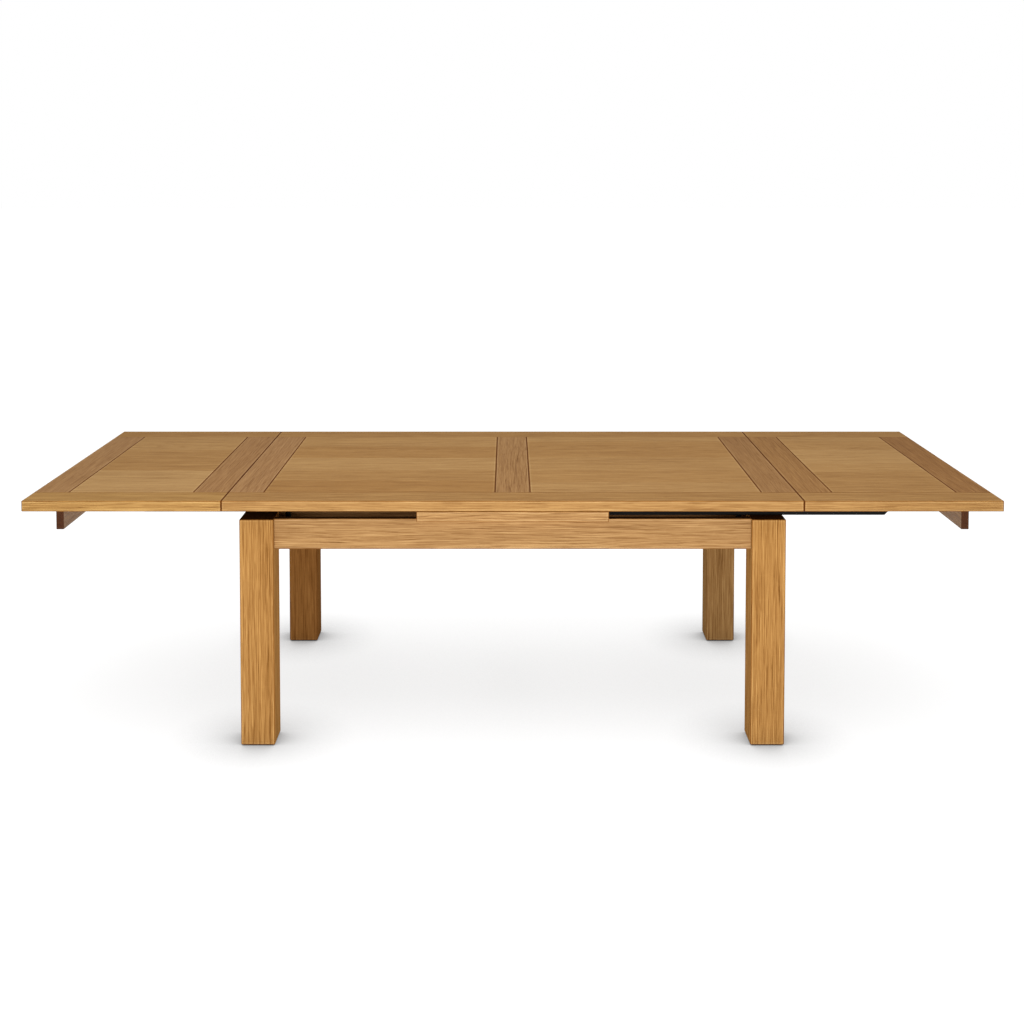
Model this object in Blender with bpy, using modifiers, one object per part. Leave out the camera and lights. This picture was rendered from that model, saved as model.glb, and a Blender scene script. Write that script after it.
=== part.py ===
"""Extendable draw-leaf dining table, modelled with both leaves drawn out.

Metres, +Z up, +X along the length, -Y the front. The origin is on the floor under the middle of the table.
A loose main top lies on a fixed centre board. Each leaf hangs on two black bars that ride over the leg tops, and
carries its own end board, which closes the frame between the legs once the leaf is pushed in under the main top.
"""

import math

import bmesh
import bpy
from mathutils import Matrix, Vector

# Driving dimensions
HEIGHT = 0.775
DEPTH = 1.100
MAIN_LENGTH = 1.780
LEAF_LENGTH = 0.610
TOP_THICKNESS = 0.033
LEAF_SPACE = 0.033  # between the frame's top and the main top, where a leaf goes in
BORDER = 0.110  # width of every border rail and cross strip
LEG_SIDE = 0.105
LEG_INSET_X = 0.048  # from the main top's end to the leg's outer face
LEG_INSET_Y = 0.032
APRON_HEIGHT = 0.095
APRON_RECESS = 0.012
RAIL_THICKNESS = 0.025
CENTRE_BOARD_LENGTH = 0.588
CENTRE_BOARD_SETBACK = 0.001  # from the main top's edge to the centre board's
BAR_WIDTH = 0.025
BAR_START_X = 0.300
BAR_END_X = 1.192
END_BOARD_INSET = 0.059
END_BOARD_HEIGHT = 0.092
END_BOARD_THICKNESS = 0.024
END_BOARD_CLEARANCE = 0.002  # between an end board's end and the leg beside it, once the leaf is pushed in
LEAF_PLAY = 0.020  # how far a leaf can still be drawn before its stop pegs meet the legs

# Secondary dimensions
GAP = 0.0003  # between pieces that touch
BUTT_GAP = 0.0006  # between the main top and a leaf
GLIDE_HEIGHT = 0.003
GLIDE_RADIUS = 0.022
EDGE_TOP = 0.0022  # round the outside of the tabletop
EDGE_BUTT = 0.0012  # where the main top and a leaf meet
EDGE_JOINT = 0.0005  # where two boards of one top are glued together
EDGE_LEG = 0.0030
EDGE_BOARD = 0.0015
EDGE_SMALL = 0.0012
EDGE_GLIDE = 0.0006
EDGE_PEG = 0.0008
TENON_LENGTH = 0.030
TENON_THICKNESS = 0.017
TENON_TOP_SHOULDER = 0.015
TENON_BOTTOM_SHOULDER = 0.042  # leaves room for the corner bolt under the tenons
MORTISE_CLEARANCE = 0.0005
END_RAIL_RECESS = 0.013  # from the legs' inner faces to the end rail
BEARER_X = 0.262
BEARER_HEIGHT = 0.085
GUIDE_THICKNESS = 0.018
GUIDE_HEIGHT = 0.054
NOTCH_DEPTH = 0.040
BAR_LANE_CENTRE = 0.430  # middle of the lane in which the bars of both leaves run
BAR_LANE_WIDTH = 0.084
BAR_OFFSET = 0.0205  # from the lane's middle to a bar's middle
GUIDE_PEG_Y = 0.220
GUIDE_PEG_RADIUS = 0.015
GUIDE_HOLE_RADIUS = 0.0158
GUIDE_PEG_LENGTH = 0.075
GUIDE_PEG_TAPER = 0.010  # length of the tapered tip
GUIDE_PEG_TIP = 0.75  # radius of the tip, as a share of the peg's
STOP_PEG_RADIUS = 0.009
STOP_PEG_LENGTH = 0.034
BLOCK_SEAT = 0.040  # from the leg's inner corner to a corner block's inner face
BLOCK_TIP = 0.012
BLOCK_RISE = 0.001  # above the apron's lower edge
BLOCK_HEIGHT = 0.036
BOLT_RADIUS = 0.004
BOLT_HEAD_RADIUS = 0.009
BOLT_HEAD_HEIGHT = 0.004
BOLT_HEAD_CROWN = 0.8  # radius of the head's flat top, as a share of its full radius
BOLT_HEAD_RIM = 0.6  # height at which the head reaches its full radius, as a share of its height
BOLT_POINT = 0.4  # radius of the bolt's tip, as a share of its full radius
BOLT_LENGTH = 0.072
BOLT_HOLE_SPARE = 0.002  # how much deeper the hole is than the bolt is long
BOLT_SOCKET_RADIUS = 0.0032
BOLT_SOCKET_DEPTH = 0.0025
CUTTER_EXCESS = 0.010  # how far a cutter reaches past the surface that it opens

# Worked out from the dimensions above
TOP_UNDERSIDE = HEIGHT - TOP_THICKNESS
FRAME_TOP = TOP_UNDERSIDE - LEAF_SPACE
MAIN_END = MAIN_LENGTH / 2
LEAF_END = MAIN_END + LEAF_LENGTH
SIDE = DEPTH / 2
LEG_OUT_X = MAIN_END - LEG_INSET_X
LEG_IN_X = LEG_OUT_X - LEG_SIDE
LEG_OUT_Y = SIDE - LEG_INSET_Y
LEG_IN_Y = LEG_OUT_Y - LEG_SIDE
APRON_OUT_Y = LEG_OUT_Y - APRON_RECESS
APRON_IN_Y = APRON_OUT_Y - RAIL_THICKNESS
END_RAIL_IN_X = LEG_IN_X + END_RAIL_RECESS
END_RAIL_OUT_X = END_RAIL_IN_X + RAIL_THICKNESS
APRON_BOTTOM = FRAME_TOP - APRON_HEIGHT
LANE_IN = BAR_LANE_CENTRE - BAR_LANE_WIDTH / 2
LANE_OUT = BAR_LANE_CENTRE + BAR_LANE_WIDTH / 2
TENON_BOTTOM = APRON_BOTTOM + TENON_BOTTOM_SHOULDER
TENON_TOP = FRAME_TOP - TENON_TOP_SHOULDER
BLOCK_BOTTOM = APRON_BOTTOM + BLOCK_RISE

# name: (base colour, roughness, metallic)
FINISHES = {
    "oak_face": ((0.43, 0.25, 0.10), 0.42, 0.0),
    "oak_panel": ((0.41, 0.23, 0.09), 0.42, 0.0),
    "oak_strip": ((0.34, 0.18, 0.07), 0.45, 0.0),
    "oak_frame": ((0.47, 0.26, 0.09), 0.48, 0.0),
    "oak_inner": ((0.36, 0.20, 0.09), 0.65, 0.0),
    "black_bar": ((0.012, 0.010, 0.009), 0.50, 0.0),
    "beech_peg": ((0.55, 0.36, 0.19), 0.60, 0.0),
    "zinc": ((0.55, 0.56, 0.58), 0.35, 1.0),
    "glide_felt": ((0.06, 0.045, 0.035), 0.95, 0.0),
}


def clear_scene():
    for obj in list(bpy.data.objects):
        bpy.data.objects.remove(obj, do_unlink=True)


def new_collection(name):
    collection = bpy.data.collections.new(name)
    bpy.context.scene.collection.children.link(collection)
    return collection


def move_to(obj, collection):
    for other in list(obj.users_collection):
        other.objects.unlink(obj)
    collection.objects.link(obj)


def finish_material(node, finish):
    """A Principled material of the node's own."""
    color, roughness, metallic = FINISHES[finish]
    material = bpy.data.materials.new(node + "_" + finish)
    material.use_nodes = True
    shader = material.node_tree.nodes["Principled BSDF"]
    shader.inputs["Base Color"].default_value = (*color, 1.0)
    shader.inputs["Roughness"].default_value = roughness
    shader.inputs["Metallic"].default_value = metallic
    material.diffuse_color = (*color, 1.0)
    return material


def dress(obj, name, finish, parent):
    obj.name = name
    obj.data.name = name
    obj.data.materials.clear()
    obj.data.materials.append(finish_material(name, finish))
    move_to(obj, PARTS)
    obj.parent = parent
    obj.matrix_parent_inverse = parent.matrix_world.inverted()
    return obj


def block(low, high):
    """A box between two corners, its scale applied."""
    low, high = Vector(low), Vector(high)
    bpy.ops.mesh.primitive_cube_add(size=1, location=(low + high) / 2)
    obj = bpy.context.object
    size = high - low
    obj.data.transform(Matrix.Diagonal((*size, 1.0)))
    return obj


def ease(obj, width, segments=2):
    """Eases every edge of a piece alike."""
    bevel = obj.modifiers.new("eased_edges", "BEVEL")
    bevel.width = width
    bevel.segments = segments
    bevel.limit_method = "ANGLE"
    bevel.angle_limit = math.radians(30)


def ease_by_side(obj, widths, inner, segments=2):
    """Eases a block's edges by the side that they lie on.

    widths is {(axis, sign): width}, such as {(0, 1): 0.002} for the side that faces +X. Every edge on no side named
    there gets the width inner, and so does an upright edge unless both of its sides are named.
    """
    mesh = obj.data
    middle = sum((v.co for v in mesh.vertices), Vector()) / len(mesh.vertices)
    widest = max([inner, *widths.values()])
    weights = mesh.attributes.new("bevel_weight_edge", "FLOAT", "EDGE")
    for edge in mesh.edges:
        a, b = (mesh.vertices[i].co - middle for i in edge.vertices)
        sides = [(axis, 1 if a[axis] > 0 else -1) for axis in (0, 1) if a[axis] * b[axis] > 0]
        upright = len(sides) == 2
        found = [widths[side] for side in sides if side in widths]
        width = (min if upright else max)(found) if len(found) > upright else inner
        weights.data[edge.index].value = width / widest
    bevel = obj.modifiers.new("eased_edges", "BEVEL")
    bevel.width = widest
    bevel.segments = segments
    bevel.limit_method = "WEIGHT"


def spanning(x, y, z):
    """Two corners from three (one end, other end) pairs given in either order."""
    spans = [sorted(pair) for pair in (x, y, z)]
    return [s[0] for s in spans], [s[1] for s in spans]


def board(name, x, y, z, finish, parent, edge=EDGE_SMALL, segments=2):
    obj = block(*spanning(x, y, z))
    ease(obj, edge, segments)
    return dress(obj, name, finish, parent)


def as_cutter(obj, name):
    obj.name = name
    obj.hide_render = True
    obj.display_type = "WIRE"
    move_to(obj, CUTTERS)
    return obj


def cut(obj, cutter):
    boolean = obj.modifiers.new("cut_" + cutter.name, "BOOLEAN")
    boolean.operation = "DIFFERENCE"
    boolean.solver = "EXACT"
    boolean.object = cutter


def join(obj, other):
    boolean = obj.modifiers.new("join_" + other.name, "BOOLEAN")
    boolean.operation = "UNION"
    boolean.solver = "EXACT"
    boolean.object = other


def rod(radius, length, location, rotation=(0, 0, 0), sides=24):
    bpy.ops.mesh.primitive_cylinder_add(
        vertices=sides, radius=radius, depth=length, location=location, rotation=rotation
    )
    return bpy.context.object


def turned(profile, location, steps=24):
    """A solid of revolution about its own Z. The profile is (radius, z) points from the top down."""
    mesh = bpy.data.meshes.new("turned")
    edges = [(i, i + 1) for i in range(len(profile) - 1)]
    mesh.from_pydata([(r, 0, z) for r, z in profile], edges, [])
    obj = bpy.data.objects.new("turned", mesh)
    bpy.context.scene.collection.objects.link(obj)
    obj.location = location
    screw = obj.modifiers.new("turn", "SCREW")
    screw.steps = steps
    screw.render_steps = steps
    screw.use_merge_vertices = True
    screw.merge_threshold = 0.0001
    return obj


def extruded(outline, bottom, top):
    """A flat outline of (x, y) points raised from bottom to top."""
    mesh = bpy.data.meshes.new("extruded")
    bm = bmesh.new()
    face = bm.faces.new([bm.verts.new((x, y, bottom)) for x, y in outline])
    raised = bmesh.ops.extrude_face_region(bm, geom=[face])["geom"]
    verts = [v for v in raised if isinstance(v, bmesh.types.BMVert)]
    bmesh.ops.translate(bm, verts=verts, vec=(0, 0, top - bottom))
    bmesh.ops.recalc_face_normals(bm, faces=bm.faces)
    bm.to_mesh(mesh)
    bm.free()
    obj = bpy.data.objects.new("extruded", mesh)
    bpy.context.scene.collection.objects.link(obj)
    return obj


def body_empty(name, location=(0, 0, 0)):
    empty = bpy.data.objects.new(name, None)
    empty.location = location
    PARTS.objects.link(empty)
    bpy.context.view_layer.update()
    return empty


def corner_name(sx, sy):
    return ("front" if sy < 0 else "rear") + "_" + ("left" if sx < 0 else "right")


def end_name(sx):
    return "left" if sx < 0 else "right"


def side_name(sy):
    return "front" if sy < 0 else "rear"


def bolt_axis(sx, sy):
    """The unit direction from the frame's inside into the leg."""
    return Vector((sx, sy, 0)).normalized()


def bolt_head_seat(sx, sy):
    """The point where the bolt's head meets the corner block's inner face."""
    leg_corner = Vector((sx * LEG_IN_X, sy * LEG_IN_Y, BLOCK_BOTTOM + BLOCK_HEIGHT / 2))
    return leg_corner - bolt_axis(sx, sy) * BLOCK_SEAT


def along(direction):
    """The rotation that turns +Z to the given direction."""
    return direction.to_track_quat("Z", "Y").to_euler()


def block_outline():
    """The corner block seen from above, in the quadrant where x and y are positive.

    It lies against the apron and the end rail, goes round the leg's inner corner, and its inner face is square to
    the bolt. Its two sharp ends are cut off.
    """
    slant = LEG_IN_X + LEG_IN_Y - BLOCK_SEAT * math.sqrt(2)
    end_x = slant - APRON_IN_Y + BLOCK_TIP
    end_y = slant - END_RAIL_IN_X + BLOCK_TIP
    return [
        (end_x, APRON_IN_Y - GAP),
        (LEG_IN_X - GAP, APRON_IN_Y - GAP),
        (LEG_IN_X - GAP, LEG_IN_Y - GAP),
        (END_RAIL_IN_X - GAP, LEG_IN_Y - GAP),
        (END_RAIL_IN_X - GAP, end_y),
        (slant - end_y, end_y),
        (end_x, slant - end_x),
    ]


def make_mortise(sx, sy, low, high, name):
    x = (sx * low[0], sx * high[0])
    y = (sy * low[1], sy * high[1])
    return as_cutter(block(*spanning(x, y, (low[2], high[2]))), name)


def make_leg(sx, sy, frame):
    corner = corner_name(sx, sy)
    leg = board(
        "leg_" + corner,
        (sx * LEG_IN_X, sx * LEG_OUT_X),
        (sy * LEG_IN_Y, sy * LEG_OUT_Y),
        (GLIDE_HEIGHT, FRAME_TOP),
        "oak_frame",
        frame,
        edge=EDGE_LEG,
        segments=3,
    )
    half = TENON_THICKNESS / 2 + MORTISE_CLEARANCE
    deep = TENON_LENGTH + 2 * MORTISE_CLEARANCE
    low = TENON_BOTTOM - MORTISE_CLEARANCE
    high = TENON_TOP + MORTISE_CLEARANCE
    apron_y = (APRON_IN_Y + APRON_OUT_Y) / 2
    rail_x = (END_RAIL_IN_X + END_RAIL_OUT_X) / 2
    for_apron = make_mortise(
        sx,
        sy,
        (LEG_IN_X - CUTTER_EXCESS, apron_y - half, low),
        (LEG_IN_X + deep, apron_y + half, high),
        "apron_mortise_" + corner,
    )
    for_rail = make_mortise(
        sx,
        sy,
        (rail_x - half, LEG_IN_Y - CUTTER_EXCESS, low),
        (rail_x + half, LEG_IN_Y + deep, high),
        "rail_mortise_" + corner,
    )
    cut(leg, for_apron)
    cut(leg, for_rail)
    cut(leg, bolt_hole(sx, sy))
    return leg


def bolt_hole(sx, sy):
    """The bored path of a corner bolt, shared by its block and its leg."""
    name = "bolt_hole_" + corner_name(sx, sy)
    if name in bpy.data.objects:
        return bpy.data.objects[name]
    axis = bolt_axis(sx, sy)
    start = bolt_head_seat(sx, sy) - axis * CUTTER_EXCESS
    length = CUTTER_EXCESS + BOLT_LENGTH + BOLT_HOLE_SPARE
    hole = rod(BOLT_RADIUS + GAP, length, start + axis * length / 2, along(axis), sides=16)
    return as_cutter(hole, name)


def make_corner(sx, sy, frame):
    """The corner block, its bolt and the leg's glide."""
    corner = corner_name(sx, sy)
    outline = [(sx * x, sy * y) for x, y in block_outline()]
    brace = extruded(outline, BLOCK_BOTTOM, BLOCK_BOTTOM + BLOCK_HEIGHT)
    dress(brace, "corner_block_" + corner, "oak_inner", frame)
    cut(brace, bolt_hole(sx, sy))

    head = BOLT_HEAD_HEIGHT
    profile = [
        (0, head),
        (BOLT_HEAD_RADIUS * BOLT_HEAD_CROWN, head),
        (BOLT_HEAD_RADIUS, head * BOLT_HEAD_RIM),
        (BOLT_HEAD_RADIUS, GAP),
        (BOLT_RADIUS, GAP),
        (BOLT_RADIUS, BOLT_RADIUS - BOLT_LENGTH),
        (BOLT_RADIUS * BOLT_POINT, -BOLT_LENGTH),
        (0, -BOLT_LENGTH),
    ]
    axis = bolt_axis(sx, sy)
    bolt = turned(profile, bolt_head_seat(sx, sy), steps=20)
    bolt.rotation_euler = along(-axis)
    bpy.context.view_layer.update()
    dress(bolt, "corner_bolt_" + corner, "zinc", frame)
    socket_length = CUTTER_EXCESS + BOLT_SOCKET_DEPTH
    socket_centre = bolt_head_seat(sx, sy) - axis * (head - BOLT_SOCKET_DEPTH + socket_length / 2)
    socket = rod(BOLT_SOCKET_RADIUS, socket_length, socket_centre, along(axis), sides=6)
    cut(bolt, as_cutter(socket, "bolt_socket_" + corner))

    foot = ((LEG_IN_X + LEG_OUT_X) / 2 * sx, (LEG_IN_Y + LEG_OUT_Y) / 2 * sy)
    glide = rod(GLIDE_RADIUS, GLIDE_HEIGHT - GAP, (*foot, (GLIDE_HEIGHT - GAP) / 2))
    ease(glide, EDGE_GLIDE, 1)
    dress(glide, "foot_glide_" + corner, "glide_felt", frame)


def make_apron(sy, frame):
    """A long rail with a tenon at each end."""
    z = (APRON_BOTTOM, FRAME_TOP)
    apron = block(*spanning((-LEG_IN_X + GAP, LEG_IN_X - GAP), (sy * APRON_IN_Y, sy * APRON_OUT_Y), z))
    ease(apron, EDGE_SMALL)
    dress(apron, side_name(sy) + "_apron", "oak_frame", frame)
    middle = (APRON_IN_Y + APRON_OUT_Y) / 2
    reach = LEG_IN_X + TENON_LENGTH
    tenons = block(
        *spanning(
            (-reach, reach),
            (sy * (middle - TENON_THICKNESS / 2), sy * (middle + TENON_THICKNESS / 2)),
            (TENON_BOTTOM, TENON_TOP),
        )
    )
    join(apron, as_cutter(tenons, side_name(sy) + "_apron_tenons"))


def make_end_rail(sx, frame):
    """The fixed rail between two legs, set in far enough to leave room for a leaf's end board."""
    z = (APRON_BOTTOM, FRAME_TOP)
    ends = (-LEG_IN_Y + GAP, LEG_IN_Y - GAP)
    rail = block(*spanning((sx * END_RAIL_IN_X, sx * END_RAIL_OUT_X), ends, z))
    ease(rail, EDGE_SMALL)
    dress(rail, "end_rail_" + end_name(sx), "oak_inner", frame)
    middle = (END_RAIL_IN_X + END_RAIL_OUT_X) / 2
    reach = LEG_IN_Y + TENON_LENGTH
    tenons = block(
        *spanning(
            (sx * (middle - TENON_THICKNESS / 2), sx * (middle + TENON_THICKNESS / 2)),
            (-reach, reach),
            (TENON_BOTTOM, TENON_TOP),
        )
    )
    join(rail, as_cutter(tenons, "end_rail_tenons_" + end_name(sx)))


def make_bearer(sx, frame):
    """A cross bearer under the centre board, notched where the bars pass."""
    x = (sx * BEARER_X - RAIL_THICKNESS / 2, sx * BEARER_X + RAIL_THICKNESS / 2)
    bearer = board(
        "cross_bearer_" + end_name(sx),
        x,
        (-APRON_IN_Y + GAP, APRON_IN_Y - GAP),
        (FRAME_TOP - BEARER_HEIGHT, FRAME_TOP),
        "oak_inner",
        frame,
    )
    for sy in (-1, 1):
        z = (FRAME_TOP - NOTCH_DEPTH, FRAME_TOP + CUTTER_EXCESS)
        wide = (x[0] - CUTTER_EXCESS, x[1] + CUTTER_EXCESS)
        notch = block(*spanning(wide, (sy * LANE_IN, sy * LANE_OUT), z))
        cut(bearer, as_cutter(notch, "notch_" + end_name(sx) + "_" + side_name(sy)))


def make_slide_guides(frame):
    """Guides between the bearers and the end rails. They keep the bars in their lanes."""
    y_in = LANE_IN - GAP - GUIDE_THICKNESS
    x_in = BEARER_X + RAIL_THICKNESS / 2 + GAP
    z = (FRAME_TOP - GUIDE_HEIGHT, FRAME_TOP)
    for sx in (-1, 1):
        for sy in (-1, 1):
            x = (sx * x_in, sx * (END_RAIL_IN_X - GAP))
            y = (sy * y_in, sy * (LANE_IN - GAP))
            board("slide_guide_" + corner_name(sx, sy), x, y, z, "oak_inner", frame)


def make_centre_board(frame):
    """Three boards level with the bars. The two lanes between them let the bars of both leaves through."""
    x = (-CENTRE_BOARD_LENGTH / 2, CENTRE_BOARD_LENGTH / 2)
    z = (FRAME_TOP + GAP, TOP_UNDERSIDE - GAP)
    for sy in (-1, 1):
        name = "centre_board_" + side_name(sy)
        y = (sy * LANE_OUT, sy * (SIDE - CENTRE_BOARD_SETBACK))
        board(name, x, y, z, "oak_frame", frame, edge=EDGE_BOARD)
    middle = board("centre_board_middle", x, (-LANE_IN, LANE_IN), z, "oak_frame", frame, edge=EDGE_BOARD)
    for sy in (-1, 1):
        centre = (0, sy * GUIDE_PEG_Y, sum(z) / 2)
        hole = rod(GUIDE_HOLE_RADIUS, LEAF_SPACE + 2 * CUTTER_EXCESS, centre, sides=32)
        cut(middle, as_cutter(hole, "guide_hole_" + side_name(sy)))


def make_frame(frame):
    for sx in (-1, 1):
        make_end_rail(sx, frame)
        make_bearer(sx, frame)
        for sy in (-1, 1):
            make_leg(sx, sy, frame)
            make_corner(sx, sy, frame)
    for sy in (-1, 1):
        make_apron(sy, frame)
    make_slide_guides(frame)
    make_centre_board(frame)


def top_board(name, x, y, finish, parent, outside):
    """One board of a tabletop. outside is {(axis, sign): edge width} for the sides that aren't glued to a board."""
    obj = block(*spanning(x, y, (TOP_UNDERSIDE, HEIGHT)))
    ease_by_side(obj, outside, EDGE_JOINT)
    return dress(obj, name, finish, parent)


def make_main_top(body):
    """Two long rails, three cross strips, two panels between them, and the guide pegs underneath."""
    end = MAIN_END - BUTT_GAP / 2
    inner = SIDE - BORDER
    for sy in (-1, 1):
        name = "main_rail_" + side_name(sy)
        outside = {(1, sy): EDGE_TOP, (0, -1): EDGE_BUTT, (0, 1): EDGE_BUTT}
        top_board(name, (-end, end), (sy * inner, sy * SIDE), "oak_face", body, outside)
    between = (-inner + GAP, inner - GAP)
    top_board("main_strip_centre", (-BORDER / 2, BORDER / 2), between, "oak_strip", body, {})
    for sx in (-1, 1):
        side = end_name(sx)
        strip = (sx * (end - BORDER), sx * end)
        top_board("main_strip_" + side, strip, between, "oak_strip", body, {(0, sx): EDGE_BUTT})
        panel = (sx * (BORDER / 2 + GAP), sx * (end - BORDER - GAP))
        top_board("main_panel_" + side, panel, between, "oak_panel", body, {})
    for sy in (-1, 1):
        profile = [
            (0, 0),
            (GUIDE_PEG_RADIUS, 0),
            (GUIDE_PEG_RADIUS, GUIDE_PEG_TAPER - GUIDE_PEG_LENGTH),
            (GUIDE_PEG_RADIUS * GUIDE_PEG_TIP, -GUIDE_PEG_LENGTH),
            (0, -GUIDE_PEG_LENGTH),
        ]
        peg = turned(profile, (0, sy * GUIDE_PEG_Y, TOP_UNDERSIDE - GAP))
        bpy.context.view_layer.update()
        dress(peg, "guide_peg_" + side_name(sy), "beech_peg", body)


def make_bar(sx, sy, body):
    """A bar under a leaf. Its outer end is cut back at 45 degrees."""
    lane = BAR_LANE_CENTRE + sx * BAR_OFFSET
    y = (sy * (lane - BAR_WIDTH / 2), sy * (lane + BAR_WIDTH / 2))
    z = (FRAME_TOP + GAP, TOP_UNDERSIDE - GAP)
    bar = block(*spanning((sx * BAR_START_X, sx * BAR_END_X), y, z))
    for vertex in bar.data.vertices:
        if sx * vertex.co.x > 0 and vertex.co.z < 0:
            vertex.co.x -= sx * (z[1] - z[0])
    ease(bar, EDGE_SMALL, 1)
    dress(bar, "leaf_bar_" + corner_name(sx, sy), "black_bar", body)
    peg_x = sx * (LEG_IN_X - GAP - LEAF_PLAY - STOP_PEG_RADIUS)
    centre = (peg_x, sy * lane, FRAME_TOP - STOP_PEG_LENGTH / 2)
    peg = rod(STOP_PEG_RADIUS, STOP_PEG_LENGTH, centre, sides=20)
    ease(peg, EDGE_PEG, 1)
    dress(peg, "stop_peg_" + corner_name(sx, sy), "black_bar", body)


def make_leaf(sx, body):
    side = end_name(sx)
    start = MAIN_END + BUTT_GAP / 2
    inner = SIDE - BORDER
    for sy in (-1, 1):
        name = "leaf_" + side + "_rail_" + side_name(sy)
        outside = {(1, sy): EDGE_TOP, (0, sx): EDGE_TOP, (0, -sx): EDGE_BUTT}
        rail = (sx * start, sx * LEAF_END)
        top_board(name, rail, (sy * inner, sy * SIDE), "oak_face", body, outside)
        make_bar(sx, sy, body)
    between = (-inner + GAP, inner - GAP)
    strip = (sx * start, sx * (start + BORDER))
    top_board("leaf_" + side + "_strip_inner", strip, between, "oak_strip", body, {(0, -sx): EDGE_BUTT})
    strip = (sx * (LEAF_END - BORDER), sx * LEAF_END)
    top_board("leaf_" + side + "_strip_outer", strip, between, "oak_strip", body, {(0, sx): EDGE_TOP})
    panel = (sx * (start + BORDER + GAP), sx * (LEAF_END - BORDER - GAP))
    top_board("leaf_" + side + "_panel", panel, between, "oak_panel", body, {})
    face = LEAF_END - END_BOARD_INSET
    board(
        "leaf_" + side + "_end_board",
        (sx * (face - END_BOARD_THICKNESS), sx * face),
        (END_BOARD_CLEARANCE - LEG_IN_Y, LEG_IN_Y - END_BOARD_CLEARANCE),
        (TOP_UNDERSIDE - END_BOARD_HEIGHT, TOP_UNDERSIDE - GAP),
        "oak_frame",
        body,
        edge=EDGE_BOARD,
    )


clear_scene()
PARTS = new_collection("extendable_dining_table")
CUTTERS = new_collection("cutters")
make_frame(body_empty("frame_body"))
make_main_top(body_empty("main_top_body", (0, 0, TOP_UNDERSIDE)))
for side_sign in (-1, 1):
    leaf = body_empty("leaf_body_" + end_name(side_sign), (side_sign * MAIN_END, 0, TOP_UNDERSIDE))
    make_leaf(side_sign, leaf)
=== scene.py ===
"""Looks, lights and camera for the extendable draw-leaf dining table.

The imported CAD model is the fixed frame. Its boards keep their shapes and get procedural oak, stained black
wood, beech, zinc and felt. The four panels are replaced by edge-glued planks, and the screws that hold the
underside together are added. Metres, +Z up, +X along the table, -Y the front.
"""

import math
import random

import bmesh
import bpy
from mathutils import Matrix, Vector


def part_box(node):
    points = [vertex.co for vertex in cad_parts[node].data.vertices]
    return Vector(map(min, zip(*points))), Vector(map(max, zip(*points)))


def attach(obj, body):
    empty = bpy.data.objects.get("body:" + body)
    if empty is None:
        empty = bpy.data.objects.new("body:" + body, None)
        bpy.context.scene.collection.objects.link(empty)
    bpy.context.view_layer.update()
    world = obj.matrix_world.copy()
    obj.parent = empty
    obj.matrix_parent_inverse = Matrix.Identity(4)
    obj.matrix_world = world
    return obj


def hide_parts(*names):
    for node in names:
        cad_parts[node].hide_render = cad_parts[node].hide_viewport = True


# Camera, as fitted to the table's own corners
SENSOR = 36.0
LENS = 47.215
CAMERA_PLACE = (-0.0127, -4.6047, 1.7771)
CAMERA_PITCH = 0.0468  # radians below the horizon
CAMERA_SHIFT = (0.0034, -0.2705)

GRAINS = {"x": (0, 1, 2), "y": (1, 0, 2), "z": (2, 0, 1)}  # (along, across, through)
RING_SPACING = 0.0042  # between growth rings
WIDE_RING_SPACING = 0.019  # between groups of darker and lighter rings
SEED_STEPS = (7.31, 3.77)  # how far a seed shifts the noise along and across the grain
PLANK_SEED_STEP = 23.0
BASE_SHADE = 1.03
DARKEST_SHADE = 0.2
# The power of the shade in each colour channel: darker wood is also redder, and stained wood more so.
WOOD_POWERS = (0.85, 1.08, 1.35)
STAIN_POWERS = (0.8, 1.25, 2.0)

# Where stain and a painted highlight show near a board's edge, by distance from it
ARRIS = (0.0008, 0.0030)  # the arris is stained up to the first and clear of stain beyond the second
HIGHLIGHT_FROM = (0.0026, 0.0040)
HIGHLIGHT_TO = (0.0045, 0.0085)
ARRIS_SHADE = 0.52
HIGHLIGHT_GAIN = 0.16
END_GRAIN_SHADE = 0.5
TOP_SHADE_BAND = (0.0008, 0.0002)  # painted shade just below the upper face, which lies in the table top's shadow
PAINTED_TOP_SHADE = 0.14
WOOD_BUMP = (0.18, 0.0006)  # strength and distance

# Joint lines: how dark, and how far they reach
RAIL_JOINT = (0.32, 0.0034)
STRIP_JOINT = (0.36, 0.0028)
# The apron's line is a dark joint and also painted shade in the recessed corner where it meets the leg.
APRON_JOINT_AND_SHADE = (0.45, 0.0060)
PANEL_JOINT = (0.55, 0.0024)
JOINT_CORE = 0.3  # the share of the reach that is fully dark

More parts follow.
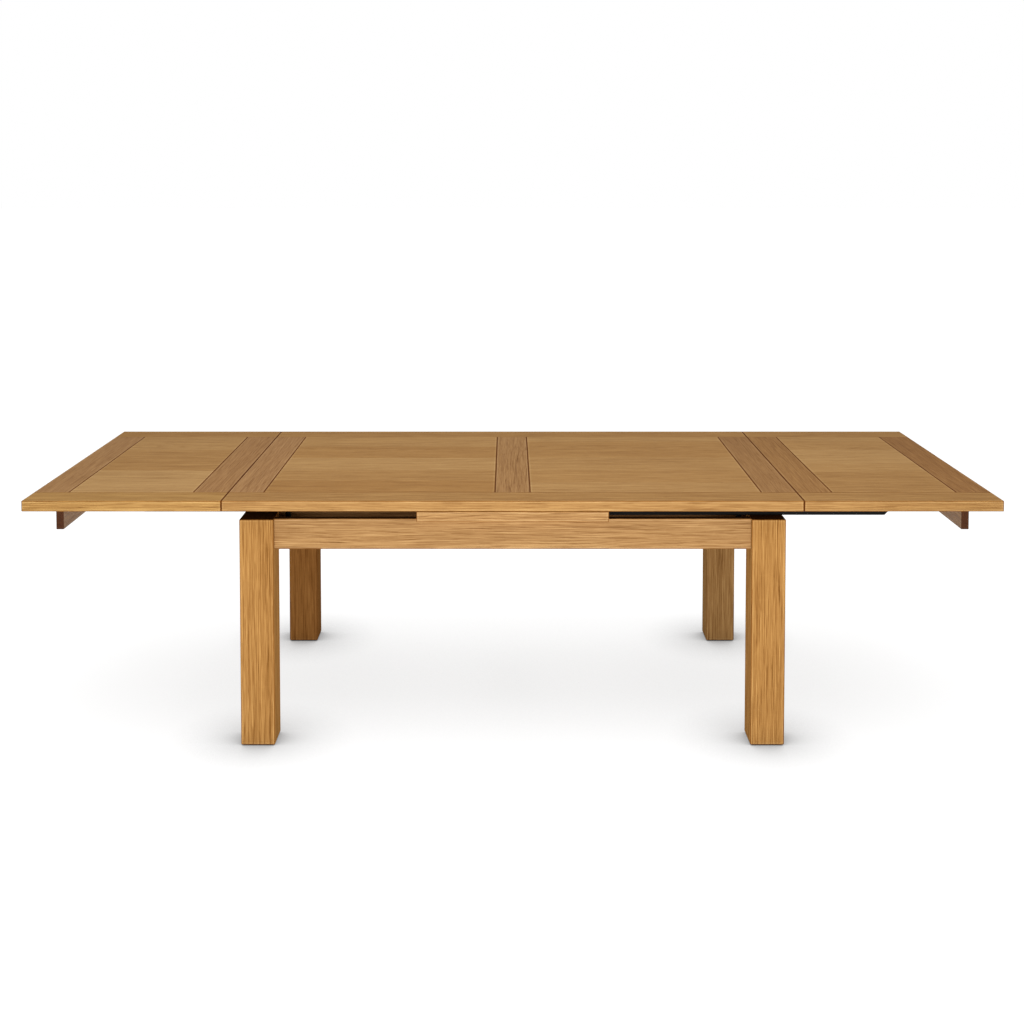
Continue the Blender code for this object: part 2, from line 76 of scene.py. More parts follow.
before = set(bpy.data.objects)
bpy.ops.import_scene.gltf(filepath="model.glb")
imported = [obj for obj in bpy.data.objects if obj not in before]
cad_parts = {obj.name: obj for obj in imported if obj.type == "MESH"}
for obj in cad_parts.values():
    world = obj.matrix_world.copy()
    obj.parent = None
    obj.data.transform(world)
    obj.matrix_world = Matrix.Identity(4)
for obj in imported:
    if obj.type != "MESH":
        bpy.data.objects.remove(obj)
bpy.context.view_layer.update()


class Tree:
    """Builds shader nodes in short calls. A value that is a socket is linked, and any other is set."""

    def __init__(self, tree):
        self.tree = tree
        self.made = 0

    def node(self, kind, values=(), **settings):
        new = self.tree.nodes.new(kind)
        new.location = (180 * (self.made % 12), -220 * (self.made // 12))
        self.made += 1
        for key, value in settings.items():
            setattr(new, key, value)
        for key, value in dict(values).items():
            if isinstance(value, bpy.types.NodeSocket):
                self.tree.links.new(value, new.inputs[key])
            else:
                new.inputs[key].default_value = value
        return new

    def math(self, operation, *values, clamp=False):
        new = self.node("ShaderNodeMath", dict(enumerate(values)), operation=operation, use_clamp=clamp)
        return new.outputs[0]

    def vector(self, operation, *values):
        return self.node("ShaderNodeVectorMath", dict(enumerate(values)), operation=operation).outputs[0]

    def noise(self, place, scale, detail=2.0, roughness=0.5, distortion=0.0):
        """A noise of place with its own scale for each axis, about 0.5 in the middle."""
        values = {
            "Vector": self.vector("MULTIPLY", place, scale),
            "Scale": 1.0,
            "Detail": detail,
            "Roughness": roughness,
            "Distortion": distortion,
        }
        return self.node("ShaderNodeTexNoise", values).outputs[0]

    def step(self, value, low, high, at_low=0.0, at_high=1.0):
        """A smooth step from at_low to at_high as value goes from low to high."""
        values = {1: low, 2: high, 3: at_low, 4: at_high, 0: value}
        return self.node("ShaderNodeMapRange", values, interpolation_type="SMOOTHSTEP").outputs[0]

    def swing(self, value, amount):
        """(value - 0.5) * amount."""
        return self.math("MULTIPLY", self.math("SUBTRACT", value, 0.5), amount)

    def combine(self, x, y, z):
        return self.node("ShaderNodeCombineXYZ", {0: x, 1: y, 2: z}).outputs[0]

    def split(self, place):
        return self.node("ShaderNodeSeparateXYZ", {0: place}).outputs


def new_group(name, inputs, outputs):
    """A node group with (name, socket type) inputs and outputs: its Tree, and the sockets for both."""
    group = bpy.data.node_groups.new(name, "ShaderNodeTree")
    for direction, sockets in (("INPUT", inputs), ("OUTPUT", outputs)):
        for socket, kind in sockets:
            group.interface.new_socket(socket, in_out=direction, socket_type="NodeSocket" + kind)
    tree = Tree(group)
    return tree, tree.node("NodeGroupInput").outputs, tree.node("NodeGroupOutput").inputs


def send(tree, outputs, **results):
    for name, result in results.items():
        tree.tree.links.new(result, outputs[name])


def make_oak_group():
    """Oak in grain space, with x along the grain: growth rings, streaks, pores, ray flecks and tone."""
    inputs = [
        ("Grain", "Vector"),
        ("Seed", "Float"),
        ("Pith", "Vector"),
        ("Figure", "Float"),
        ("Streaks", "Float"),
        ("Tint", "Color"),
    ]
    outputs = [("Color", "Color"), ("Height", "Float"), ("Gloss", "Float")]
    tree, given, results = new_group("oak", inputs, outputs)
    grain = given["Grain"]
    seed = given["Seed"]
    offset = tree.combine(*[tree.math("MULTIPLY", seed, step) for step in SEED_STEPS], seed)
    place = tree.vector("ADD", grain, offset)

    # Growth rings: the distance to a pith line that leans across the board and wanders slowly.
    along, across, through = tree.split(grain)[:3]
    lean, pith_y, pith_z = tree.split(given["Pith"])[:3]
    leaning = tree.math("MULTIPLY", along, lean)
    wander = tree.swing(tree.noise(place, (1.1, 4.0, 4.0), 2.0), 0.050)
    ripple = tree.swing(tree.noise(place, (6.0, 34.0, 34.0), 2.0), 0.006)
    side = tree.math("ADD", tree.math("SUBTRACT", across, pith_y), tree.math("ADD", leaning, wander))
    depth = tree.math("ADD", tree.math("SUBTRACT", through, pith_z), leaning)
    squares = tree.math("ADD", tree.math("POWER", side, 2.0), tree.math("POWER", depth, 2.0))
    radius = tree.math("ADD", tree.math("SQRT", squares), ripple)
    ring = tree.math("FRACT", tree.math("DIVIDE", radius, RING_SPACING))
    early = tree.math("MULTIPLY", tree.step(ring, 0.0, 0.10), tree.step(ring, 0.12, 0.62, 1.0, 0.0))
    wide_ring = tree.math("SINE", tree.math("MULTIPLY", radius, 2 * math.pi / WIDE_RING_SPACING))

    # Streaks of several widths, and the broad tone of the board.
    fine = tree.noise(place, (9.0, 520.0, 520.0), 3.0, 0.6)
    middle = tree.noise(place, (4.0, 270.0, 270.0), 3.0, 0.60, 0.10)
    broad = tree.noise(place, (1.2, 36.0, 36.0), 3.0, 0.55, 0.3)
    tone = tree.noise(place, (0.8, 5.0, 5.0), 2.0)
    dark_streaks = tree.step(tree.noise(place, (8.0, 330.0, 330.0), 1.0, 0.5, 0.10), 0.54, 0.61)
    pale_streaks = tree.step(tree.noise(place, (9.0, 350.0, 350.0), 1.0, 0.5, 0.10), 0.56, 0.63)

    # Pores are short dark dashes, thickest in the early wood.
    dashes = tree.noise(place, (38.0, 1300.0, 1300.0), 1.0)
    threshold = tree.math("SUBTRACT", 0.63, tree.math("MULTIPLY", early, 0.09))
    pores = tree.math("MULTIPLY", tree.math("SUBTRACT", dashes, threshold), 9.0, clamp=True)
    long_pores = tree.step(tree.noise(place, (9.0, 340.0, 340.0), 2.0, 0.7), 0.58, 0.70)

    # Ray flecks lie across the grain and catch the light.
    flecks = tree.step(tree.noise(place, (130.0, 26.0, 60.0), 2.0, 0.4, 0.6), 0.60, 0.70)

    streaks = given["Streaks"]
    figure = given["Figure"]
    parts = [
        tree.math("MULTIPLY", tree.swing(fine, 0.40), streaks),
        tree.math("MULTIPLY", tree.swing(middle, 0.95), streaks),
        tree.math("MULTIPLY", tree.swing(broad, 0.36), streaks),
        tree.swing(tone, 0.22),
        tree.math("MULTIPLY", dark_streaks, tree.math("MULTIPLY", streaks, -0.25)),
        tree.math("MULTIPLY", pale_streaks, tree.math("MULTIPLY", streaks, 0.20)),
        tree.math("MULTIPLY", early, tree.math("MULTIPLY", figure, -0.20)),
        tree.math("MULTIPLY", wide_ring, tree.math("MULTIPLY", figure, 0.035)),
        tree.math("MULTIPLY", pores, -0.16),
        tree.math("MULTIPLY", long_pores, tree.math("MULTIPLY", streaks, -0.24)),
        tree.math("MULTIPLY", flecks, 0.035),
    ]
    shade = BASE_SHADE
    for part in parts:
        shade = tree.math("ADD", shade, part)
    shade = tree.math("MAXIMUM", shade, DARKEST_SHADE)
    channels = [tree.math("POWER", shade, power) for power in WOOD_POWERS]
    color = tree.vector("MULTIPLY", given["Tint"], tree.combine(*channels))
    dips = tree.math("ADD", pores, tree.math("MULTIPLY", long_pores, 0.5))
    height = tree.math("SUBTRACT", tree.math("MULTIPLY", middle, 0.35), dips)
    gloss = tree.math("ADD", tree.math("MULTIPLY", dips, 0.10), tree.swing(middle, 0.14))
    send(tree, results, Color=color, Height=height, Gloss=gloss)
    return tree.tree


def make_edge_group():
    """How far a point of a box is from its nearest edge, and from its faces along X."""
    inputs = [("Place", "Vector"), ("Middle", "Vector"), ("Half", "Vector")]
    tree, given, results = new_group("edge_distance", inputs, [("Edge", "Float"), ("X", "Float")])
    from_middle = tree.vector("ABSOLUTE", tree.vector("SUBTRACT", given["Place"], given["Middle"]))
    inside = tree.vector("SUBTRACT", given["Half"], from_middle)
    x, y, z = tree.split(inside)[:3]
    lower, upper = tree.math("MINIMUM", x, y), tree.math("MAXIMUM", x, y)
    middle = tree.math("MAXIMUM", lower, tree.math("MINIMUM", upper, z))
    send(tree, results, Edge=middle, X=x)
    return tree.tree


OAK = make_oak_group()
EDGE = make_edge_group()


def new_material(name):
    material = bpy.data.materials.new(name)
    material.use_nodes = True
    tree = Tree(material.node_tree)
    material.node_tree.nodes.clear()
    shader = tree.node("ShaderNodeBsdfPrincipled")
    output = tree.node("ShaderNodeOutputMaterial", {"Surface": shader.outputs[0]})
    output.is_active_output = True
    return material, tree, shader


def set_shader(tree, shader, **values):
    """Sets or links the shader's inputs. Underscores in a name stand for spaces."""
    for key, value in values.items():
        socket = shader.inputs[key.replace("_", " ")]
        if isinstance(value, bpy.types.NodeSocket):
            tree.tree.links.new(value, socket)
        else:
            socket.default_value = value


def bump(tree, height, strength, distance):
    values = {"Height": height, "Strength": strength, "Distance": distance}
    return tree.node("ShaderNodeBump", values).outputs[0]


def add_group(tree, group, **values):
    """A node for group, with its inputs linked or set."""
    node = tree.node("ShaderNodeGroup", node_tree=group)
    for key, value in values.items():
        if isinstance(value, bpy.types.NodeSocket):
            tree.tree.links.new(value, node.inputs[key])
        else:
            node.inputs[key].default_value = value
    return node.outputs


def arris_stain_and_highlight(tree, edge, look):
    """A shade for the arris, which holds more stain, and a painted highlight on the wood beside it, which is
    made a little paler.
    """
    stained = tree.step(edge, *ARRIS, look.get("arris", ARRIS_SHADE), 1.0)
    # Painted highlight: the band beside the arris is made paler.
    highlight_band = tree.math("MULTIPLY", tree.step(edge, *HIGHLIGHT_FROM), tree.step(edge, *HIGHLIGHT_TO, 1.0, 0.0))
    with_highlight = tree.math("ADD", 1.0, tree.math("MULTIPLY", highlight_band, look.get("edge_highlight", HIGHLIGHT_GAIN)))
    return tree.math("MULTIPLY", stained, with_highlight)


def joint_line(tree, distance, facing_x, joint):
    """A shade that darkens the wood beside a board's ends, but not the end faces that an open joint shows."""
    depth, reach = joint
    near = tree.step(distance, reach * JOINT_CORE, reach, 1.0, 0.0)
    loss = tree.step(facing_x, 0.5, 0.8, 1.0 - depth, 0.0)
    return tree.math("SUBTRACT", 1.0, tree.math("MULTIPLY", near, loss))


def paint_top_shade(tree, color, place, top):
    """Paints shade: darkens color within a hair of the height top, for the shadow that the table top casts on
    the frame's upper faces.
    """
    height = tree.split(place)[2]
    top_shade = tree.step(height, *[top - below for below in TOP_SHADE_BAND], 1.0, PAINTED_TOP_SHADE)
    color = tree.vector("SCALE", color)
    tree.tree.links.new(top_shade, color.node.inputs["Scale"])
    return color


def oak(name, box, grain, tint, look, joint=None, shade_painted_top=None):
    """The oak of one board, whose grain runs along the axis named by grain.

    look holds figure, streaks, rough, specular and pith, which is (lean, across, through) from the board's
    middle, and may hold arris, the painted highlight beside it, end and planks. joint is (shade, reach) for
    the lines beside the board's two ends along X. The last argument is the height of an upper face darkened
    as painted shade.
    """
    draw = random.Random(name)
    tint = [channel * own for channel, own in zip(tint, OWN_TINTS_AND_SHADES.get(name, (1.0, 1.0, 1.0)))]
    material, tree, shader = new_material(name)
    low, high = box
    middle, half = (low + high) / 2, (high - low) / 2
    place = tree.node("ShaderNodeTexCoord").outputs["Object"]
    facing = tree.split(tree.vector("ABSOLUTE", tree.node("ShaderNodeTexCoord").outputs["Normal"]))
    own = tree.split(tree.vector("SUBTRACT", place, tuple(middle)))
    seed = draw.uniform(1.0, 40.0)
    if look.get("planks"):
        plank = tree.node("ShaderNodeAttribute", attribute_name="plank").outputs["Fac"]
        seed = tree.math("ADD", tree.math("MULTIPLY", plank, PLANK_SEED_STEP), seed)
    lean, across, through = look["pith"]
    pith = (lean * draw.uniform(0.5, 1.5), across * draw.uniform(0.6, 1.2), through * draw.uniform(0.8, 1.3))
    wood = add_group(
        tree,
        OAK,
        Grain=tree.combine(*[own[i] for i in GRAINS[grain]]),
        Seed=seed,
        Pith=pith,
        Figure=look["figure"],
        Streaks=look["streaks"],
        Tint=(*tint, 1.0),
    )
    edges = add_group(tree, EDGE, Place=place, Middle=middle, Half=half)
    shade = arris_stain_and_highlight(tree, edges["Edge"], look)
    if joint:
        shade = tree.math("MULTIPLY", shade, joint_line(tree, edges["X"], facing[0], joint))
    if look.get("planks"):
        tone = tree.node("ShaderNodeAttribute", attribute_name="tone").outputs["Fac"]
        shade = tree.math("MULTIPLY", shade, tone)
    # End grain takes up more stain.
    end_grain = tree.step(facing["xyz".index(grain)], 0.75, 0.98, 1.0, look.get("end", END_GRAIN_SHADE))
    shade = tree.math("MULTIPLY", shade, end_grain)
    channels = [tree.math("POWER", shade, power) for power in STAIN_POWERS]
    color = tree.vector("MULTIPLY", wood["Color"], tree.combine(*channels))
    # Painted shade on an upper face that lies in the shadow of the table top.
    if shade_painted_top is not None:
        color = paint_top_shade(tree, color, place, shade_painted_top)
    set_shader(
        tree,
        shader,
        Base_Color=color,
        Roughness=tree.math("ADD", wood["Gloss"], look["rough"], clamp=True),
        Normal=bump(tree, wood["Height"], *WOOD_BUMP),
        Specular_IOR_Level=look["specular"],
    )
    return material


def dress(name, material):
    """Gives a CAD node's object its material in every slot."""
    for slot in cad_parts[name].material_slots:
        slot.material = material


FACE_LOOK = {"figure": 0.45, "streaks": 0.95, "rough": 0.50, "specular": 0.05, "pith": (0.03, 0.10, -0.16)}
PLANK_LOOK = {**FACE_LOOK, "figure": 0.35, "streaks": 0.8, "pith": (0.05, 0.22, -0.10), "planks": True}
STRIP_LOOK = {**FACE_LOOK, "figure": 0.45, "streaks": 0.8, "pith": (0.02, 0.09, -0.10)}
LEG_LOOK = {**FACE_LOOK, "figure": 0.4, "streaks": 1.2, "specular": 0.0, "pith": (0.01, 0.14, 0.09), "end": 1}
APRON_LOOK = {**FACE_LOOK, "figure": 0.6, "streaks": 1.1, "pith": (0.02, 0.12, -0.06)}
# The end boards' end faces are darkened past end grain's stain, partly as painted shadow from the leaf above.
END_LOOK = {**APRON_LOOK, "specular": 0.16, "end": 0.20}
INNER_LOOK = {**FACE_LOOK, "rough": 0.62, "arris": 0.8, "edge_highlight": 0.04}

# Linear reflectances
TINTS = {
    "face": (0.37, 0.195, 0.064),
    "panel": (0.40, 0.215, 0.073),
    "strip": (0.34, 0.175, 0.066),
    "leg": (0.375, 0.185, 0.054),
    "apron": (0.385, 0.21, 0.079),
    # The end boards' tint is darker than the other oak; part of that is painted shadow from the leaf above
    # them.
    "end": (0.24, 0.135, 0.060),
    "inner": (0.30, 0.17, 0.075),
    # The slide guides are darker than the other inner wood as painted shade, for the shadowed lane under the
    # top.
    "guide": (0.23, 0.125, 0.048),
}

# How the tint of a board differs from that of the others of its kind, and painted shade for the rear legs
OWN_TINTS_AND_SHADES = {
    # The rear legs' darker tints are painted shade: they stand in the shadow under the table.
    "leg_rear_left": (0.58, 0.50, 0.44),
    "leg_rear_right": (0.76, 0.82, 0.98),
    "leaf_left_rail_front": (1.12, 1.16, 1.10),
    "leaf_left_strip_outer": (1.05, 1.08, 1.12),
    "leaf_right_strip_inner": (0.95, 0.92, 0.80),
    "leaf_right_strip_outer": (0.88, 0.82, 0.70),
    "main_strip_centre": (1.04, 1.06, 1.04),
    "main_strip_left": (1.06, 1.08, 1.12),
    "main_strip_right": (0.94, 0.93, 0.88),
}


def dress_boards():
    frame_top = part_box("front_apron")[1].z
    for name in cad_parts:
        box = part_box(name)
        if "rail_" in name and name.startswith(("main", "leaf")):
            dress(name, oak(name, box, "x", TINTS["face"], FACE_LOOK, joint=RAIL_JOINT))
        elif "strip" in name:
            dress(name, oak(name, box, "y", TINTS["strip"], STRIP_LOOK, joint=STRIP_JOINT))
        elif name.startswith("leg_"):
            dress(name, oak(name, box, "z", TINTS["leg"], LEG_LOOK, shade_painted_top=frame_top))
        elif name.endswith("apron"):
            apron = oak(name, box, "x", TINTS["apron"], APRON_LOOK, joint=APRON_JOINT_AND_SHADE, shade_painted_top=frame_top)
            dress(name, apron)
        elif name.startswith("centre_board"):
            dress(name, oak(name, box, "x", TINTS["apron"], APRON_LOOK))
        elif name.endswith("end_board"):
            dress(name, oak(name, box, "y", TINTS["end"], END_LOOK))
        elif name.startswith("slide_guide"):
            dress(name, oak(name, box, "x", TINTS["guide"], INNER_LOOK))
        elif name.startswith(("cross_bearer", "end_rail")):
            dress(name, oak(name, box, "y", TINTS["inner"], INNER_LOOK))
        elif name.startswith("corner_block"):
            dress(name, oak(name, box, "x", TINTS["inner"], INNER_LOOK))


def make_black_material():
    """Hardwood stained black and waxed: the grain shows only as a slight change of sheen and depth."""
    material, tree, shader = new_material("black_stained_wood")
    place = tree.node("ShaderNodeTexCoord").outputs["Object"]
    streaks = tree.noise(place, (4.0, 380.0, 380.0), 4.0, 0.6)
    worn = tree.step(tree.noise(place, (9.0, 60.0, 60.0), 3.0), 0.60, 0.75)
    value = tree.math("ADD", tree.math("MULTIPLY", streaks, 0.006), tree.math("MULTIPLY", worn, 0.004))
    color = tree.combine(value, tree.math("MULTIPLY", value, 0.85), tree.math("MULTIPLY", value, 0.74))
    rough = tree.math("ADD", 0.42, tree.math("MULTIPLY", streaks, 0.2))
    normal = bump(tree, streaks, 0.2, 0.0004)
    set_shader(tree, shader, Base_Color=color, Roughness=rough, Normal=normal, Specular_IOR_Level=0.08)
    return material


def make_beech_material():
    material, tree, shader = new_material("turned_beech")
    place = tree.node("ShaderNodeTexCoord").outputs["Object"]
    flecks = tree.step(tree.noise(place, (900.0, 900.0, 160.0), 2.0, 0.5), 0.56, 0.68)
    tone = tree.noise(place, (60.0, 60.0, 12.0), 3.0)
    turned = tree.math("SINE", tree.math("MULTIPLY", tree.split(place)[2], 9000.0))
    tone_shade = tree.math("ADD", 0.92, tree.swing(tone, 0.3))
    shade = tree.math("ADD", tone_shade, tree.math("MULTIPLY", flecks, -0.14))
    strengths = ((1, 0.56), (1.15, 0.36), (1.3, 0.19))
    channels = [tree.math("MULTIPLY", tree.math("POWER", shade, power), tint) for power, tint in strengths]
    normal = bump(tree, tree.math("ADD", turned, flecks), 0.12, 0.0001)
    rough = tree.math("ADD", 0.55, tree.swing(tone, 0.2))
    set_shader(tree, shader, Base_Color=tree.combine(*channels), Roughness=rough, Normal=normal)
    return material


def make_zinc_material():
    material, tree, shader = new_material("zinc_plate")
    place = tree.node("ShaderNodeTexCoord").outputs["Object"]
    spangle = tree.noise(place, (700.0,) * 3, 3.0, 0.6)
    dull = tree.noise(place, (120.0,) * 3, 2.0)
    value = tree.math("ADD", 0.50, tree.swing(spangle, 0.12))
    color = tree.combine(value, value, tree.math("MULTIPLY", value, 1.04))
    rough = tree.math("ADD", 0.36, tree.swing(dull, 0.3))
    normal = bump(tree, spangle, 0.15, 0.0002)
    set_shader(tree, shader, Base_Color=color, Metallic=1.0, Roughness=rough, Normal=normal)
    return material


def make_felt_material():
    material, tree, shader = new_material("pressed_felt")
    place = tree.node("ShaderNodeTexCoord").outputs["Object"]
    fibres = tree.noise(place, (1500.0,) * 3, 4.0, 0.7, 1.2)
    value = tree.math("ADD", 0.035, tree.math("MULTIPLY", fibres, 0.05))
    color = tree.combine(value, tree.math("MULTIPLY", value, 0.86), tree.math("MULTIPLY", value, 0.74))
    rough = tree.math("ADD", 0.85, tree.swing(fibres, 0.2), clamp=True)
    normal = bump(tree, fibres, 0.6, 0.0006)
    set_shader(tree, shader, Base_Color=color, Roughness=rough, Normal=normal, Sheen_Weight=0.3)
    return material


def dress_hardware():
    black, beech, felt = make_black_material(), make_beech_material(), make_felt_material()
    zinc = make_zinc_material()
    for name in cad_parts:
        if name.startswith(("leaf_bar", "stop_peg")):
            dress(name, black)
        elif name.startswith("guide_peg"):
            dress(name, beech)
        elif name.startswith("foot_glide"):
            dress(name, felt)
        elif name.startswith("corner_bolt"):
            dress(name, zinc)
    return zinc


def new_piece(name, bm, material, body):
    mesh = bpy.data.meshes.new(name)
    bm.to_mesh(mesh)
    bm.free()
    obj = bpy.data.objects.new(name, mesh)
    bpy.context.scene.collection.objects.link(obj)
    mesh.materials.append(material)
    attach(obj, body)
    return obj


PLANK_EASE = 0.0004
PLANK_GAP = 0.0001


def plank_mesh(low, high):
    """One plank with all its edges eased, as a bmesh."""
    bm = bmesh.new()
    bmesh.ops.create_cube(bm, size=1.0)
    size, middle = high - low, (low + high) / 2
    for vert in bm.verts:
        vert.co = Vector([vert.co[i] * size[i] + middle[i] for i in range(3)])
    bmesh.ops.bevel(bm, geom=list(bm.edges), offset=PLANK_EASE, segments=2, profile=0.5, affect="EDGES")
    return bm


def make_panel(name, node, body, widths, tones):
    """Planks glued edge to edge in place of a CAD panel. widths and tones go from the front to the back."""
    low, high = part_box(node)
    scale = (high.y - low.y) / sum(widths)
    joined = bmesh.new()
    seeds = joined.faces.layers.float.new("plank")
    tone_layer = joined.faces.layers.float.new("tone")
    y = low.y
    for number, (width, tone) in enumerate(zip(widths, tones)):
        end = y + width * scale
        near, far = y + PLANK_GAP / 2, end - PLANK_GAP / 2
        bm = plank_mesh(Vector((low.x, near, low.z)), Vector((high.x, far, high.z)))
        scratch = bpy.data.meshes.new("plank")
        bm.to_mesh(scratch)
        bm.free()
        before = len(joined.faces)
        joined.from_mesh(scratch)
        bpy.data.meshes.remove(scratch)
        joined.faces.ensure_lookup_table()
        for face in joined.faces[before:]:
            face[seeds] = number + 1.0
            face[tone_layer] = tone
        y = end
    material = oak(name, (low, high), "x", TINTS["panel"], PLANK_LOOK, joint=PANEL_JOINT)
    piece = new_piece(name, joined, material, body)
    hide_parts(node)


# (piece, CAD panel, body, plank widths, plank tones), the planks from the front to the back
PANELS = [
    (
        "planks_leaf_left",
        "leaf_left_panel",
        "left_leaf",
        (0.31, 0.33, 0.24),
        (1.16, 0.98, 1.08),
    ),
    (
        "planks_main_left",
        "main_panel_left",
        "main_top",
        (0.16, 0.15, 0.20, 0.19, 0.18),
        (0.88, 0.98, 1.09, 0.92, 1.04),
    ),
    (
        "planks_main_right",
        "main_panel_right",
        "main_top",
        (0.14, 0.17, 0.21, 0.27, 0.09),
        (1.07, 0.98, 1.04, 0.95, 1.06),
    ),
    (
        "planks_leaf_right",
        "leaf_right_panel",
        "right_leaf",
        (0.29, 0.12, 0.24, 0.14, 0.09),
        (0.99, 1.04, 1.10, 1.01, 1.07),
    ),
]

HEAD_SEGMENTS = 24
RECESS_CORNER = math.radians(15)  # where the recess's outline turns, so that a segment ends there


def frame_of(normal):
    """Two unit directions square to the normal and to each other."""
    normal = Vector(normal).normalized()
    first = normal.orthogonal().normalized()
    return first, normal.cross(first)


def add_loops(bm, centre, normal, loops):
    """Joins loops of points and closes both ends. Each loop is (radius by angle, height along the normal)."""
    across, up = frame_of(normal)
    normal = Vector(normal).normalized()
    rows = []
    for radius, height in loops:
        row = []
        for i in range(HEAD_SEGMENTS):
            angle = 2 * math.pi * i / HEAD_SEGMENTS
            outwards = across * math.cos(angle) + up * math.sin(angle)
            row.append(bm.verts.new(centre + normal * height + outwards * radius(angle)))
        rows.append(row)
    for lower, upper in zip(rows, rows[1:]):
        for i in range(HEAD_SEGMENTS):
            j = (i + 1) % HEAD_SEGMENTS
            bm.faces.new((lower[i], lower[j], upper[j], upper[i]))
    bm.faces.new(rows[-1])
    bm.faces.new(list(reversed(rows[0])))


def round_loop(radius):
    return lambda angle: radius


def cross_loop(length):
    """The outline of a cross recess, by angle."""
    half_width = length * math.tan(RECESS_CORNER)

    def radius(angle):
        turned = angle % (math.pi / 2)
        turned = min(turned, math.pi / 2 - turned)
        return min(length / math.cos(turned), half_width / max(math.sin(turned), 1e-6))

    return radius


def add_screw(bm, centre, normal, radius=0.0040, proud=0.0002):
    """A countersunk screw head with a cross recess, standing proud of the surface by a hair."""
    loops = [
        (round_loop(radius * 0.60), -radius * 0.8),
        (round_loop(radius), -0.0001),
        (round_loop(radius), proud * 0.4),
        (round_loop(radius * 0.90), proud),
        (round_loop(radius * 0.62), proud),
        (cross_loop(radius * 0.55), proud),
        (cross_loop(radius * 0.42), proud - radius * 0.7),
    ]
    add_loops(bm, Vector(centre), normal, loops)


BAR_SCREW_X = (0.945, 1.040, 1.130)  # from the table's middle
GUIDE_SCREW_SHARES = (0.14, 0.5, 0.86)  # along a slide guide
MIDDLE_SCREW_Y = 0.30


def make_screws(zinc):
    signs = (-1, 1)
    for sx, body, side in ((-1, "left_leaf", "left"), (1, "right_leaf", "right")):
        bm = bmesh.new()
        for end in ("front", "rear"):
            low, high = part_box(f"leaf_bar_{end}_{side}")
            for x in BAR_SCREW_X:
                add_screw(bm, (sx * x, (low.y + high.y) / 2, low.z), (0, 0, -1))
        new_piece(f"screws_leaf_{side}", bm, zinc, body)
    bm = bmesh.new()
    for sx in signs:
        for sy in signs:
            side = ("front" if sy < 0 else "rear") + "_" + ("left" if sx < 0 else "right")
            low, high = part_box("slide_guide_" + side)
            inner_y = low.y if sy > 0 else high.y
            for share in GUIDE_SCREW_SHARES:
                x = low.x + (high.x - low.x) * share
                add_screw(bm, (x, inner_y, (low.z + high.z) / 2), (0, -sy, 0))
            low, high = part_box("centre_board_" + side.split("_")[0])
            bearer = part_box("cross_bearer_" + side.split("_")[1])
            x = (bearer[0].x + bearer[1].x) / 2
            add_screw(bm, (x, (low.y + high.y) / 2, high.z), (0, 0, 1))
            add_screw(bm, (x, sy * MIDDLE_SCREW_Y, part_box("centre_board_middle")[1].z), (0, 0, 1))
    new_piece("screws_frame", bm, zinc, "frame")


FLOOR_HALF = 60.0
FLOOR_STEPS = 8
FLOOR_COLOR = (0.10, 0.10, 0.101, 1.0)
FLOOR_GLOW = 1.05
FLOOR_SHADES = ((0.25, 1.1), (1.1, 0.36))  # (reach, strength)
DOME_HEIGHTS = (0.05, 0.75)
DOME_LEVELS = (0.22, 0.42)  # at those heights
# (name, place, target, size, power in watts)
LIGHTS = [
    ("overhead", (0.0, -1.5, 4.6), (0.0, -0.1, 0.7), (4.5, 3.0), 150),
    ("front", (0.0, -3.1, 0.75), (0.0, -0.5, 0.62), (3.0, 0.8), 58),
]


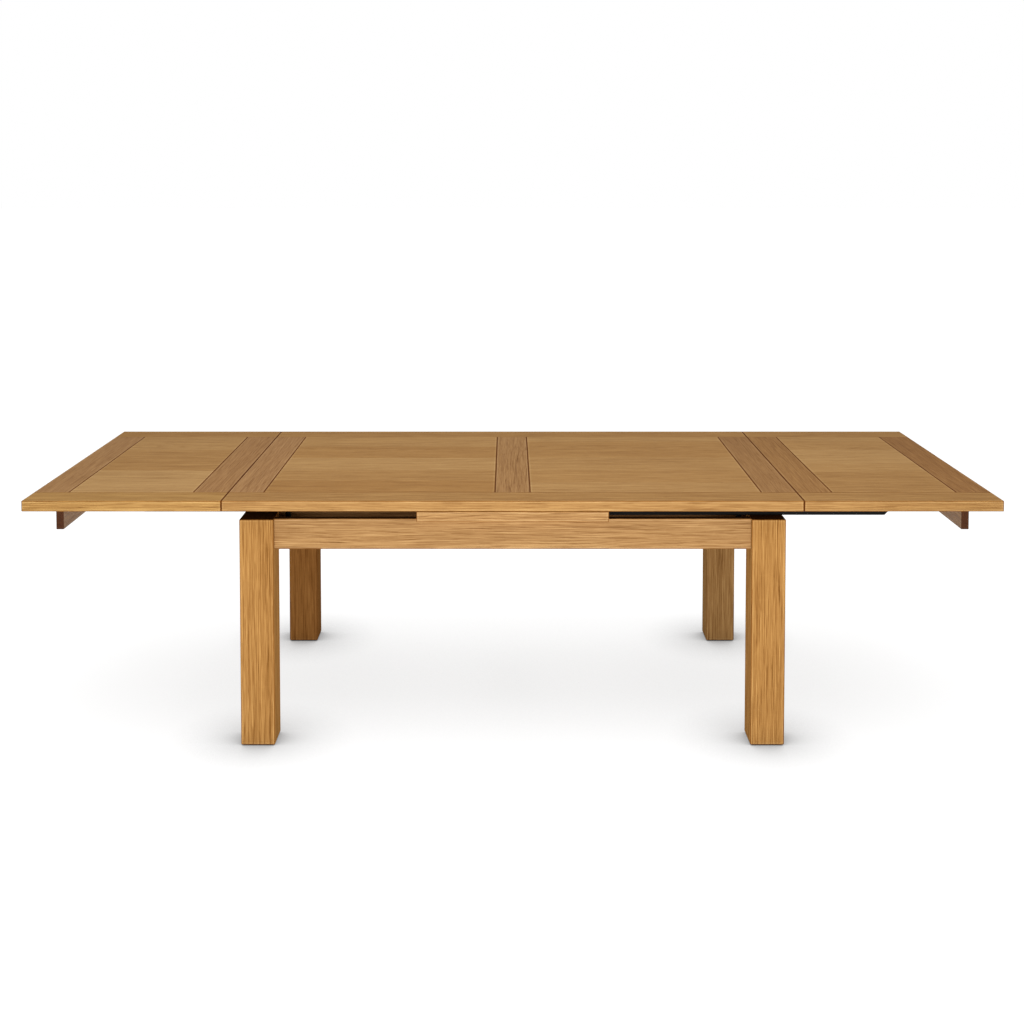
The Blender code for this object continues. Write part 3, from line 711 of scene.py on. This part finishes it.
def make_floor():
    """A plain pale floor that glows evenly so that it meets the pale background, with painted shadows."""
    bm = bmesh.new()
    bmesh.ops.create_grid(bm, x_segments=FLOOR_STEPS, y_segments=FLOOR_STEPS, size=FLOOR_HALF)
    mesh = bpy.data.meshes.new("floor")
    bm.to_mesh(mesh)
    bm.free()
    floor = bpy.data.objects.new("floor", mesh)
    bpy.context.scene.collection.objects.link(floor)
    material, tree, shader = new_material("pale_floor")
    # The floor's glow is dimmed by ambient occlusion close to what stands on it, and a little under the
    # table: painted shadows.
    glow = FLOOR_GLOW
    for reach, strength in FLOOR_SHADES:
        sky = tree.node("ShaderNodeAmbientOcclusion", {"Distance": reach}, samples=8).outputs["AO"]
        blocked = tree.math("MULTIPLY", tree.math("SUBTRACT", 1.0, sky), strength)
        glow = tree.math("MULTIPLY", tree.math("SUBTRACT", 1.0, blocked, clamp=True), glow)
    set_shader(
        tree,
        shader,
        Base_Color=FLOOR_COLOR,
        Roughness=1.0,
        Specular_IOR_Level=0.0,
        Emission_Color=tree.combine(glow, glow, glow),
        Emission_Strength=1.0,
    )
    mesh.materials.append(material)


def make_world():
    """Soft studio surroundings, dimmer near the horizon. The camera sees them as plain white."""
    world = bpy.data.worlds.new("studio")
    bpy.context.scene.world = world
    world.use_nodes = True
    world.node_tree.nodes.clear()
    tree = Tree(world.node_tree)
    height = tree.split(tree.node("ShaderNodeTexCoord").outputs["Generated"])[2]
    level = tree.step(height, *DOME_HEIGHTS, *DOME_LEVELS)
    dome = tree.node("ShaderNodeBackground", {"Color": tree.combine(level, level, level), "Strength": 1.0})
    white = tree.node("ShaderNodeBackground", {"Color": (1.0, 1.0, 1.0, 1.0), "Strength": 1.0})
    seen = tree.node("ShaderNodeLightPath").outputs["Is Camera Ray"]
    mix = tree.node("ShaderNodeMixShader", {0: seen, 1: dome.outputs[0], 2: white.outputs[0]})
    tree.node("ShaderNodeOutputWorld", {"Surface": mix.outputs[0]})


def make_area_light(name, place, target, size, power):
    """A soft light at place, aimed at target."""
    data = bpy.data.lights.new(name, "AREA")
    data.shape = "RECTANGLE"
    data.size, data.size_y = size
    data.energy = power
    light = bpy.data.objects.new(name, data)
    bpy.context.scene.collection.objects.link(light)
    light.location = place
    direction = Vector(target) - Vector(place)
    light.rotation_euler = direction.to_track_quat("-Z", "Y").to_euler()


def make_camera():
    data = bpy.data.cameras.new("camera")
    data.sensor_width = SENSOR
    data.lens = LENS
    data.shift_x, data.shift_y = CAMERA_SHIFT
    camera = bpy.data.objects.new("camera", data)
    bpy.context.scene.collection.objects.link(camera)
    camera.location = CAMERA_PLACE
    camera.rotation_euler = (math.pi / 2 - CAMERA_PITCH, 0.0, 0.0)
    bpy.context.scene.camera = camera


bpy.context.scene.view_settings.view_transform = "Standard"
dress_boards()
zinc_plate = dress_hardware()
for panel in PANELS:
    make_panel(*panel)
make_screws(zinc_plate)
make_floor()
make_world()
for light in LIGHTS:
    make_area_light(*light)
make_camera()
